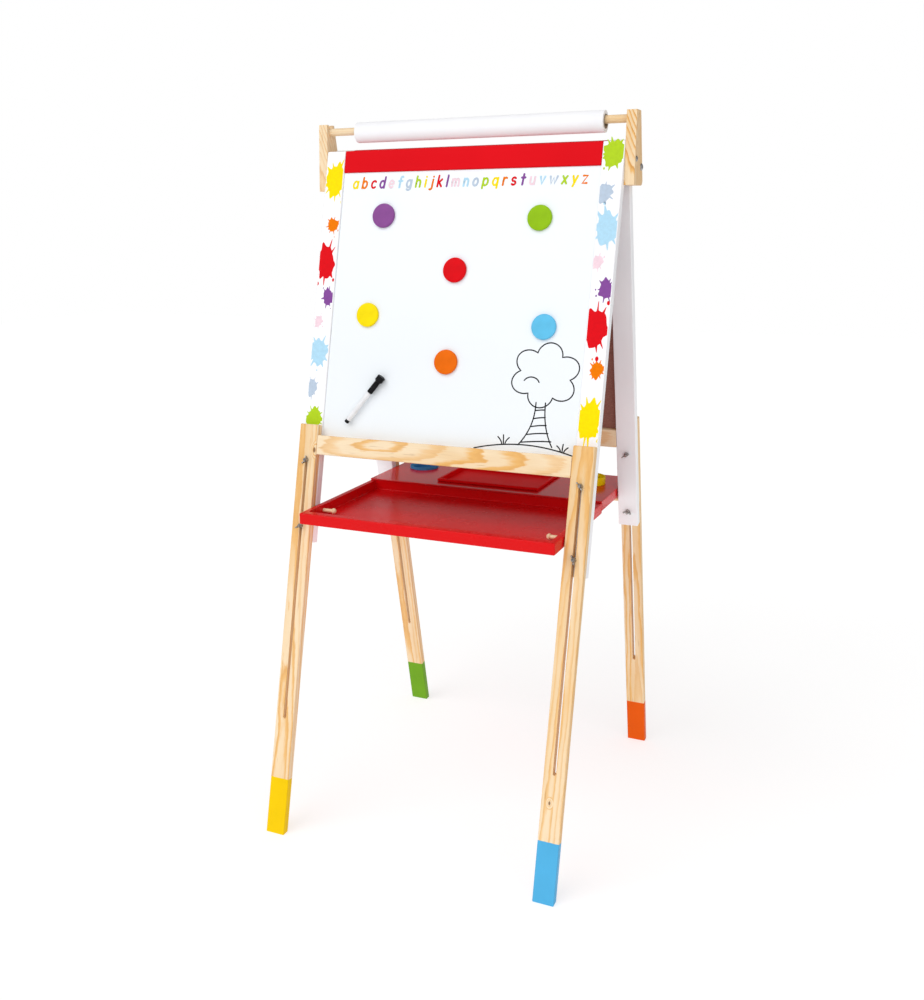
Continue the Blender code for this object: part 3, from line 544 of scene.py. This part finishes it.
def dress_rest():
    steel = plated_steel()
    for name in NODES:
        if name.startswith(("bolt_", "wing_nut_", "pivot_bolt_", "bracket_screw_")):
            dress(name, steel, 40)
    dress("whiteboard", whiteboard_film())
    dress("blackboard", chalkboard(CHALK_FACE.col[2].to_3d()))
    dress("tray", lacquer("tray_gloss", TRAY_RED, 0.26, 0.14))
    dress("tray_deck", lacquer("deck_gloss", shade(TRAY_RED, 0.95), 0.18, 0.30))
    dress("insert_dish", lacquer("dish_gloss", shade(TRAY_RED, 1.12), 0.40, 0.03))
    dress("paper_roll", roll_paper())
    dress("roll_core", grey_card())
    for colour in ("blue", "yellow"):
        dress(f"pot_{colour}", plastic(f"{colour}_pot_plastic", POTS[colour]))


# ---------------------------------------------------------------- prints on the front

PRINT_BODY = "front_frame"
PRINT_LIFT = 0.00002
PRINT_THICKNESS = 0.00006


def add_piece(name, mesh, place, material, body):
    """Puts a mesh in the scene with its material, riding on a body."""
    mesh.materials.clear()
    mesh.materials.append(material)
    obj = bpy.data.objects.new(name, mesh)
    bpy.context.scene.collection.objects.link(obj)
    obj.matrix_world = place
    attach(obj, body)
    return obj


def flat_print(name, outlines, place, material):
    """A thin printed shape: each outline is a list of (across, up) points, in order round its edge."""
    mesh = bpy.data.meshes.new(name)
    form = bmesh.new()
    for outline in outlines:
        base = form.faces.new([form.verts.new((x, y, PRINT_LIFT)) for x, y in outline])
        if base.calc_area() and base.normal.z > 0:
            base.normal_flip()
        grown = bmesh.ops.extrude_face_region(form, geom=[base], use_keep_orig=True)["geom"]
        bmesh.ops.translate(form, vec=(0, 0, PRINT_THICKNESS),
                            verts=[g for g in grown if isinstance(g, bmesh.types.BMVert)])
    bmesh.ops.recalc_face_normals(form, faces=form.faces)
    bmesh.ops.triangulate(form, faces=form.faces)
    form.to_mesh(mesh)
    form.free()
    add_piece(name, mesh, place, material, PRINT_BODY)


SPLASH_POINTS = 360
DROP_POINTS = 24


def splash(seed, half_width, half_height, spikes):
    """The outline of a paint splash about the origin, and the round drops thrown out of it.
    Two spikes in three are long and thin, and the outline between them is slightly wavy."""
    draw = Random(seed)
    rays = []
    for index in range(spikes):
        angle = tau * (index + draw.uniform(-0.32, 0.32)) / spikes
        thin = index % 3 != 0
        length = draw.uniform(0.30, 0.62) if thin else draw.uniform(0.16, 0.34)
        rays.append((angle, length, draw.uniform(0.05, 0.09) if thin else draw.uniform(0.15, 0.26)))
    wave = [draw.uniform(0, tau) for _ in range(3)]
    outline = []
    for step in range(SPLASH_POINTS):
        angle = tau * step / SPLASH_POINTS
        reach = 0.98 + 0.07 * sin(2 * angle + wave[0]) + 0.06 * sin(3 * angle + wave[1])
        reach += 0.03 * sin(8 * angle + wave[2])
        for towards, length, width in rays:
            turn = (angle - towards + pi) % tau - pi
            reach += length * exp(-((turn / width) ** 2))
        outline.append((half_width * reach * cos(angle), half_height * reach * sin(angle)))
    drops = []
    for towards, length, _ in draw.sample(rays, max(2, spikes // 4)):
        away = 1.25 + length
        size = draw.uniform(0.04, 0.09) * (half_width + half_height)
        x, y = half_width * away * cos(towards), half_height * away * sin(towards)
        turns = [tau * k / DROP_POINTS for k in range(DROP_POINTS)]
        drops.append([(x + size * 0.7 * cos(turn), y + size * sin(turn)) for turn in turns])
    return [outline, *drops]


# colour, hand, across from the stile's middle, down from its top, half width, half height, spikes, seed
SPLASHES = (
    ("yellow", "left", 0.0030, 0.054, 0.0180, 0.0300, 13, 1),
    ("orange", "left", 0.0050, 0.137, 0.0100, 0.0125, 10, 2),
    ("red", "left", -0.0040, 0.206, 0.0175, 0.0300, 9, 3),
    ("purple", "left", 0.0075, 0.271, 0.0100, 0.0150, 10, 4),
    ("pink", "left", -0.0085, 0.317, 0.0075, 0.0095, 9, 5),
    ("light_blue", "left", -0.0030, 0.374, 0.0165, 0.0240, 12, 6),
    ("grey_blue", "left", -0.0100, 0.441, 0.0095, 0.0150, 9, 7),
    ("lime", "left", -0.0010, 0.498, 0.0165, 0.0170, 12, 8),
    ("lime", "right", 0.0020, 0.021, 0.0185, 0.0205, 14, 9),
    ("grey_blue", "right", -0.0090, 0.087, 0.0120, 0.0155, 9, 10),
    ("light_blue", "right", 0.0010, 0.146, 0.0195, 0.0240, 13, 11),
    ("pink", "right", -0.0100, 0.202, 0.0080, 0.0110, 9, 12),
    ("purple", "right", 0.0085, 0.247, 0.0115, 0.0155, 10, 13),
    ("red", "right", -0.0035, 0.312, 0.0180, 0.0330, 9, 14),
    ("orange", "right", 0.0055, 0.382, 0.0105, 0.0130, 12, 15),
    ("yellow", "right", -0.0010, 0.466, 0.0185, 0.0310, 14, 16),
)
STILE_EDGE_ROUND = 0.0016
LEAST_PRINT_WIDTH = 0.0004


def print_splashes(inks):
    """The splashes down both stiles, each cut off at the stile's edges."""
    for colour, hand, across, down, half_width, half_height, spikes, seed in SPLASHES:
        low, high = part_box(f"front_stile_{hand}")
        left, right = low.x + STILE_EDGE_ROUND, high.x - STILE_EDGE_ROUND
        middle = (left + right) / 2 + across
        outlines = []
        for outline in splash(seed, half_width, half_height, spikes):
            placed = [(min(max(middle + x, left), right), y - down) for x, y in outline]
            if max(x for x, _ in placed) - min(x for x, _ in placed) > LEAST_PRINT_WIDTH:
                outlines.append(placed)
        flat_print(f"splash_{hand}_{colour}", outlines, STILE_FACE, inks[colour])


def arc(x, y, across, up, start, end, points=14):
    """Points along an ellipse's arc, from start to end degrees."""
    turns = [radians(start + (end - start) * k / (points - 1)) for k in range(points)]
    return [(x + across * cos(t), y + up * sin(t)) for t in turns]


def ring(x):
    """A letter's round bowl, about x."""
    return arc(x, 0.5, 0.34, 0.5, 0, 360, 25)


def arch(left, right):
    """A stem's arch, from its foot on the left stem to the foot of the right one."""
    half = (right - left) / 2
    return [(left, 0.45), *arc(left + half, 0.60, half, 0.40, 180, 0), (right, 0.0)]


# Strokes of each letter. 1 is the height of an x, a tall letter reaches TALL and a tail -0.40.
TALL = 1.52
LETTERS = {
    "a": [ring(0.36), [(0.72, 1.0), (0.72, 0.0)]],
    "b": [[(0.06, TALL), (0.06, 0.0)], ring(0.41)],
    "c": [arc(0.42, 0.5, 0.36, 0.5, 48, 312, 20)],
    "d": [ring(0.36), [(0.72, TALL), (0.72, 0.0)]],
    "e": [[(0.06, 0.50), *arc(0.40, 0.5, 0.34, 0.5, 0, 315, 20)]],
    "f": [[*arc(0.48, 1.26, 0.22, 0.26, 60, 180, 9), (0.26, 0.0)], [(0.04, 0.92), (0.56, 0.92)]],
    "g": [ring(0.36), [(0.72, 1.0), *arc(0.40, -0.08, 0.32, 0.32, 0, -140, 12)]],
    "h": [[(0.06, TALL), (0.06, 0.0)], arch(0.06, 0.68)],
    "i": [[(0.10, 1.0), (0.10, 0.0)], [(0.10, 1.42), (0.11, 1.42)]],
    "j": [[(0.34, 1.0), *arc(0.10, -0.12, 0.24, 0.28, 0, -115, 10)], [(0.34, 1.42), (0.35, 1.42)]],
    "k": [[(0.06, TALL), (0.06, 0.0)], [(0.62, 1.0), (0.08, 0.42)], [(0.24, 0.58), (0.66, 0.0)]],
    "l": [[(0.10, TALL), (0.10, 0.0)]],
    "m": [[(0.04, 1.0), (0.04, 0.0)], arch(0.04, 0.54), arch(0.54, 1.04)],
    "n": [[(0.06, 1.0), (0.06, 0.0)], arch(0.06, 0.66)],
    "o": [ring(0.38)],
    "p": [[(0.06, 1.0), (0.06, -0.40)], ring(0.41)],
    "q": [ring(0.36), [(0.72, 1.0), (0.72, -0.40)]],
    "r": [[(0.10, 1.0), (0.10, 0.0)], [(0.10, 0.50), *arc(0.40, 0.62, 0.30, 0.38, 180, 62, 10)]],
    "s": [[*arc(0.34, 0.745, 0.26, 0.255, 35, 270, 14), *arc(0.34, 0.25, 0.28, 0.25, 90, -145, 14)]],
    "t": [[(0.30, 1.42), (0.30, 0.0)], [(0.06, 0.96), (0.56, 0.96)]],
    "u": [[(0.06, 1.0), *arc(0.37, 0.36, 0.31, 0.36, 180, 360, 14), (0.68, 1.0)],
          [(0.68, 0.36), (0.68, 0.0)]],
    "v": [[(0.04, 1.0), (0.36, 0.0), (0.68, 1.0)]],
    "w": [[(0.02, 1.0), (0.28, 0.0), (0.52, 0.86), (0.76, 0.0), (1.02, 1.0)]],
    "x": [[(0.04, 1.0), (0.64, 0.0)], [(0.64, 1.0), (0.04, 0.0)]],
    "y": [[(0.06, 1.0), (0.38, 0.06)], [(0.70, 1.0), (0.22, -0.40)]],
    "z": [[(0.06, 1.0), (0.64, 1.0), (0.06, 0.0), (0.66, 0.0)]],
}
LETTER_COLOURS = ("yellow", "orange", "red", "purple", "pink", "light_blue", "grey_blue", "lime")
LETTER_HEIGHT = 0.0125      # of an x
LETTER_LINE = 0.0688        # baseline, down from the stile's top
LETTER_START = -0.2255
LETTER_END = 0.2225
LETTER_STROKE = 0.0038
LETTER_SLANT = 0.14


ROUND_END = (radians(78), radians(55), radians(28))     # where an end's quarter circle has points
SAME_PLACE = 1e-6


def round_ended(points, width):
    """(point, share of the full width) along an open stroke, with round ends."""
    path = [Vector((x, y)) for x, y in points]
    ends = []
    for end, inner in ((path[0], path[1]), (path[-1], path[-2])):
        away = (end - inner).normalized()
        ends.append([(end + away * width / 2 * sin(turn), cos(turn)) for turn in ROUND_END])
    return [*ends[0], *[(p, 1.0) for p in path], *reversed(ends[1])]


def stroke_print(name, strokes, width, material):
    """Lines drawn on the whiteboard, all of one width, as thin rounded ribbons. Strokes are
    (across, up) points in metres, and one that ends where it starts is a closed ring."""
    curve = bpy.data.curves.new(name, "CURVE")
    curve.dimensions = "3D"
    curve.bevel_depth = width / 2
    curve.bevel_resolution = 2
    curve.use_fill_caps = True
    for stroke in strokes:
        closed = (Vector(stroke[0]) - Vector(stroke[-1])).length < SAME_PLACE
        path = [(Vector(p), 1.0) for p in stroke[:-1]] if closed else round_ended(stroke, width)
        spline = curve.splines.new("POLY")
        spline.points.add(len(path) - 1)
        for point, (xy, radius) in zip(spline.points, path):
            point.co = (xy.x, xy.y, 0.0, 1.0)
            point.radius = radius
        spline.use_cyclic_u = closed
    drawn = bpy.data.objects.new(name + "_line", curve)
    bpy.context.scene.collection.objects.link(drawn)
    graph = bpy.context.evaluated_depsgraph_get()
    mesh = bpy.data.meshes.new_from_object(drawn.evaluated_get(graph))
    bpy.data.objects.remove(drawn)
    mesh.name = name
    mesh.transform(Matrix.Diagonal((1, 1, PRINT_THICKNESS / (width / 2), 1)))
    mesh.shade_smooth()
    add_piece(name, mesh, BOARD_FACE, material, PRINT_BODY)


def print_letters(inks):
    """The row of letters, with the same space after each."""
    widths = [LETTER_HEIGHT * max(x for stroke in strokes for x, _ in stroke)
              for strokes in LETTERS.values()]
    space = (LETTER_END - LETTER_START - sum(widths)) / (len(LETTERS) - 1)
    start = LETTER_START - space
    before = 0.0
    for index, (letter, strokes) in enumerate(LETTERS.items()):
        start += before + space
        before = widths[index]
        placed = [[(start + (x + LETTER_SLANT * y) * LETTER_HEIGHT, y * LETTER_HEIGHT - LETTER_LINE)
                   for x, y in stroke] for stroke in strokes]
        colour = LETTER_COLOURS[index % len(LETTER_COLOURS)]
        stroke_print(f"letter_{letter}", placed, LETTER_STROKE, inks[colour])


# A plain pen drawing of a tree, as (across, up) on the whiteboard
DOODLE_STROKE = 0.0023
CROWN = (0.1800, -0.3950)
CROWN_SIZE = (0.0600, 0.0540)
CROWN_LOBES = 6
CROWN_POINTS = 216
TRUNK_TOP = -0.4420
TRUNK_FOOT = -0.5165
TRUNK_LEFT = (0.1680, 0.1420)       # across at its top and at its foot
TRUNK_RIGHT = (0.1850, 0.2030)
TRUNK_POINTS = 16
BARK = ((3, 0.0020), (6, 0.0030), (9, 0.0036), (12, 0.0042), (15, 0.0046))  # trunk point and rise
GROUND_LEFT = 0.0610
GROUND_RIGHT = 0.2400
GROUND_ENDS = -0.5282
GROUND_TOP = -0.5160
# Each blade of grass: across at its foot, across at its tip, and its height
GRASS = ((0.112, 0.104, 0.0130), (0.115, 0.114, 0.0165), (0.118, 0.125, 0.0120),
         (0.219, 0.212, 0.0100), (0.222, 0.223, 0.0140), (0.225, 0.232, 0.0095))


def ground_height(x):
    share = (x - GROUND_LEFT) / (GROUND_RIGHT - GROUND_LEFT)
    return GROUND_ENDS + (GROUND_TOP - GROUND_ENDS) * 4 * share * (1 - share)


def trunk_side(top, foot):
    """One side of the trunk, which spreads towards the ground."""
    side = []
    for step in range(TRUNK_POINTS + 1):
        share = step / TRUNK_POINTS
        height = TRUNK_TOP + (TRUNK_FOOT - TRUNK_TOP) * share
        side.append((top + (foot - top) * share ** 2.4, height))
    return side


def crown_outline():
    """A cloud of round lobes."""
    crown = []
    for step in range(CROWN_POINTS):
        angle = tau * step / CROWN_POINTS
        reach = 0.74 + 0.30 * abs(sin(CROWN_LOBES / 2 * angle + 0.45)) ** 0.8
        crown.append((CROWN[0] + CROWN_SIZE[0] * reach * cos(angle),
                      CROWN[1] + CROWN_SIZE[1] * reach * sin(angle)))
    return [*crown, crown[0]]


def draw_tree(inks):
    left, right = trunk_side(*TRUNK_LEFT), trunk_side(*TRUNK_RIGHT)
    bark = []
    for point, rise in BARK:
        start, end = Vector(left[point]), Vector(right[point])
        bark.append([(start.lerp(end, k / 8).x, start.y + rise * sin(pi * k / 16)) for k in range(9)])
    ground = []
    for step in range(41):
        x = GROUND_LEFT + (GROUND_RIGHT - GROUND_LEFT) * step / 40
        ground.append((x, ground_height(x)))
    grass = []
    for foot, tip, height in GRASS:
        base = ground_height(foot)
        grass.append([(foot + (tip - foot) * (k / 6) ** 2, base + height * k / 6) for k in range(7)])
    inner_lobe = arc(0.1560, -0.4120, 0.0150, 0.0130, 20, 150)
    strokes = [crown_outline(), left, right, ground, inner_lobe, *bark, *grass]
    stroke_print("doodle_tree", strokes, DOODLE_STROKE, inks["black"])


# ---------------------------------------------------------------- finer turned pieces

LATHE_SEGMENTS = 96
LATHE_SHARP = radians(40)
AXIS_WITHIN = 1e-7


def spin_frame(node, axis):
    """Z along axis, with the origin on the node's own axis, at its low end. Also the node's length and
    its radius."""
    turn = Vector(axis).normalized().to_track_quat("Z", "Y").to_matrix()
    flat = [turn.transposed() @ v.co for v in NODES[node].data.vertices]
    low = Vector([min(p[k] for p in flat) for k in range(3)])
    high = Vector([max(p[k] for p in flat) for k in range(3)])
    place = turn.to_4x4()
    place.translation = turn @ Vector(((low.x + high.x) / 2, (low.y + high.y) / 2, low.z))
    return place, high.z - low.z, (high.x - low.x) / 2


def fillet(x, y, radius, start, end, steps):
    """Points round a corner's centre, from start to end degrees."""
    return arc(x, y, radius, radius, start, end, steps + 1)


def lathe(name, profile, node, axis, material, body):
    """A turned piece in the place of a CAD node. The profile is (radius, height) from its low end, and
    starts and ends on the axis."""
    form = bmesh.new()
    rings = []
    for radius, height in profile:
        if radius < AXIS_WITHIN:
            rings.append([form.verts.new((0, 0, height))] * LATHE_SEGMENTS)
            continue
        turns = [tau * k / LATHE_SEGMENTS for k in range(LATHE_SEGMENTS)]
        rings.append([form.verts.new((radius * cos(turn), radius * sin(turn), height)) for turn in turns])
    for one, other in zip(rings, rings[1:]):
        for k in range(LATHE_SEGMENTS):
            after = (k + 1) % LATHE_SEGMENTS
            corners = [one[k], one[after], other[after], other[k]]
            form.faces.new(list(dict.fromkeys(corners)))
    bmesh.ops.recalc_face_normals(form, faces=form.faces)
    mesh = bpy.data.meshes.new(name)
    form.to_mesh(mesh)
    form.free()
    mesh.shade_smooth()
    mesh.set_sharp_from_angle(angle=LATHE_SHARP)
    obj = add_piece(name, mesh, spin_frame(node, axis)[0], material, body)
    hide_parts(node)
    return obj


MAGNET_FOOT_ROUND = 0.0004
MAGNET_RIM_ROUND = 0.0018
MAGNET_DOME = 0.0002        # how much the face rises inside its rim


def turn_magnets():
    """Slightly domed discs with a rounded rim."""
    out = BOARD_FACE.col[2].to_3d()
    for colour, value in PLASTICS.items():
        node = f"magnet_{colour}"
        height, radius = spin_frame(node, out)[1:]
        foot = fillet(radius - MAGNET_FOOT_ROUND, MAGNET_FOOT_ROUND, MAGNET_FOOT_ROUND, -90, 0, 3)[1:]
        rim = fillet(radius - MAGNET_RIM_ROUND, height - MAGNET_DOME - MAGNET_RIM_ROUND,
                     MAGNET_RIM_ROUND, 0, 82, 7)
        profile = [(0.0, 0.0), (radius - 0.0006, 0.0), *foot, *rim, (radius * 0.80, height - 0.00012),
                   (radius * 0.4, height - 0.00004), (0.0, height)]
        piece = lathe(f"disc_{colour}", profile, node, out, plastic(f"{colour}_magnet", value, 0.34), node)


# The marker, in metres
NIB_REACH = 0.0160          # of the nib's holder and the nib, past the barrel's shoulder
HOLDER_RADIUS = 0.0033
CAP_MOUTH_RADIUS = 0.0052
CAP_BORE_RADIUS = 0.0036
CAP_BORE_DEPTH = 0.0180
CAP_HEAD_LENGTH = 0.0110    # of the wide end, which holds the eraser
RIB_STEP = 0.0012
RIB_COUNT = 6
RIB_DEPTH = 0.0003


def barrel_profile(length, radius):
    shoulder = length - NIB_REACH
    return [(0.0, 0.0),
            (radius - 0.0004, 0.0),
            *fillet(radius - 0.0003, 0.0003, 0.0003, -90, 0, 3),
            *fillet(radius - 0.0008, shoulder - 0.0012, 0.0008, 0, 80, 4),
            (HOLDER_RADIUS, shoulder),
            (HOLDER_RADIUS - 0.0001, shoulder + 0.0095),
            (0.0022, shoulder + 0.0115),
            (0.0013, shoulder + 0.0152),
            (0.0008, length - 0.0002),
            (0.0, length)]


def plug_profile(length, radius):
    """The end plug, with a round end and a groove round its middle."""
    return [(0.0, 0.0),
            (radius - 0.0015, 0.0),
            *fillet(radius - 0.0010, 0.0010, 0.0010, -80, 0, 5),
            (radius, length * 0.55),
            (radius - 0.0003, length * 0.58),
            (radius - 0.0003, length * 0.66),
            (radius, length * 0.69),
            (radius, length),
            (0.0, length)]


def cap_profile(length, radius):
    """The hollow cap: its bore, its mouth, its ribbed neck and its wide head."""
    head = length - CAP_HEAD_LENGTH
    profile = [(0.0, CAP_BORE_DEPTH),
               (CAP_BORE_RADIUS, CAP_BORE_DEPTH),
               (CAP_BORE_RADIUS, 0.0),
               *fillet(CAP_MOUTH_RADIUS - 0.0004, 0.0004, 0.0004, -90, 0, 3)]
    for step in range(RIB_COUNT):
        z = head - 0.0085 + step * RIB_STEP
        profile += [(CAP_MOUTH_RADIUS, z),
                    (CAP_MOUTH_RADIUS - RIB_DEPTH, z + RIB_STEP / 4),
                    (CAP_MOUTH_RADIUS - RIB_DEPTH, z + RIB_STEP / 2),
                    (CAP_MOUTH_RADIUS, z + RIB_STEP * 3 / 4)]
    return [*profile,
            (CAP_MOUTH_RADIUS, head - 0.0008),
            *fillet(radius - 0.0010, head + 0.0010, 0.0010, -90, 0, 5),
            *fillet(radius - 0.0012, length - 0.0012, 0.0012, 0, 90, 6),
            (0.0, length)]


def turn_marker():
    along = next(j for j in frame["joints"] if j["name"] == "marker_cap_pull")["axis"]
    white = plastic("marker_white", MARKER_WHITE, 0.28)
    black = plastic("marker_black", MARKER_BLACK, 0.35)
    for name, profile, node, material, body in (
            ("marker_barrel", barrel_profile, "marker_body", white, "marker"),
            ("marker_end", plug_profile, "marker_plug", black, "marker"),
            ("marker_cap_ribbed", cap_profile, "marker_cap", black, "marker_cap")):
        length, radius = spin_frame(node, along)[1:]
        lathe(name, profile(length, radius), node, along, material, body)


def main():
    inks = {name: ink(f"{name}_ink", colour) for name, colour in INKS.items()}
    dress_timber()
    dress_rest()
    print_splashes(inks)
    print_letters(inks)
    draw_tree(inks)
    turn_magnets()
    turn_marker()


# ---------------------------------------------------------------- stage

def make_camera():
    forward = Vector((-sin(CAMERA_YAW) * cos(CAMERA_PITCH), cos(CAMERA_YAW) * cos(CAMERA_PITCH),
                      -sin(CAMERA_PITCH)))
    level_right = Vector((cos(CAMERA_YAW), sin(CAMERA_YAW), 0))
    level_up = level_right.cross(forward)
    right = level_right * cos(CAMERA_ROLL) + level_up * sin(CAMERA_ROLL)
    up = level_up * cos(CAMERA_ROLL) - level_right * sin(CAMERA_ROLL)
    data = bpy.data.cameras.new("camera")
    data.lens = CAMERA_LENS
    data.shift_x, data.shift_y = CAMERA_SHIFT
    camera = bpy.data.objects.new("camera", data)
    bpy.context.scene.collection.objects.link(camera)
    place = Matrix((right, up, -forward)).transposed().to_4x4()
    place.translation = CAMERA_PLACE
    camera.matrix_world = place
    bpy.context.scene.camera = camera


def make_suns():
    """Broad soft lights: one from above, in front and to the left, and a weak low one in front."""
    for name, (strength, size, place) in SUNS.items():
        data = bpy.data.lights.new(name, "SUN")
        data.energy = strength
        data.angle = size
        light = bpy.data.objects.new(name, data)
        bpy.context.scene.collection.objects.link(light)
        light.rotation_euler = Vector(place).to_track_quat("Z", "Y").to_euler()


def make_world():
    """A white surround, which lights the object less than it shows to the camera."""
    world = bpy.data.worlds.new("studio")
    world.use_nodes = True
    nodes, links = world.node_tree.nodes, world.node_tree.links
    background = nodes["Background"]
    background.inputs["Color"].default_value = (1.0, 1.0, 1.0, 1.0)
    seen = nodes.new("ShaderNodeLightPath")
    level = nodes.new("ShaderNodeMapRange")
    level.inputs["To Min"].default_value = WORLD_LIGHT_LEVEL
    level.inputs["To Max"].default_value = WORLD_CAMERA_LEVEL
    links.new(seen.outputs["Is Camera Ray"], level.inputs["Value"])
    links.new(level.outputs["Result"], background.inputs["Strength"])
    bpy.context.scene.world = world
    bpy.context.scene.view_settings.view_transform = "Standard"


def make_floor():
    mesh = bpy.data.meshes.new("floor")
    form = bmesh.new()
    bmesh.ops.create_grid(form, x_segments=1, y_segments=1, size=FLOOR_HALF)
    form.to_mesh(mesh)
    form.free()
    floor = bpy.data.objects.new("floor", mesh)
    floor.location.z = -FLOOR_DROP
    bpy.context.scene.collection.objects.link(floor)
    paint = Paint("floor_paper")
    tone = paint.noise(paint.place(), 1.3, 2.0)
    paint.set(Base_Color=paint.mix(paint.spread(tone), *FLOOR_GREYS),
              Roughness=0.9,
              Specular_IOR_Level=0.0,
              Emission_Color=(1.0, 1.0, 1.0),
              Emission_Strength=FLOOR_GLOW)
    mesh.materials.append(paint.material)


main()
make_camera()
make_world()
make_floor()
make_suns()
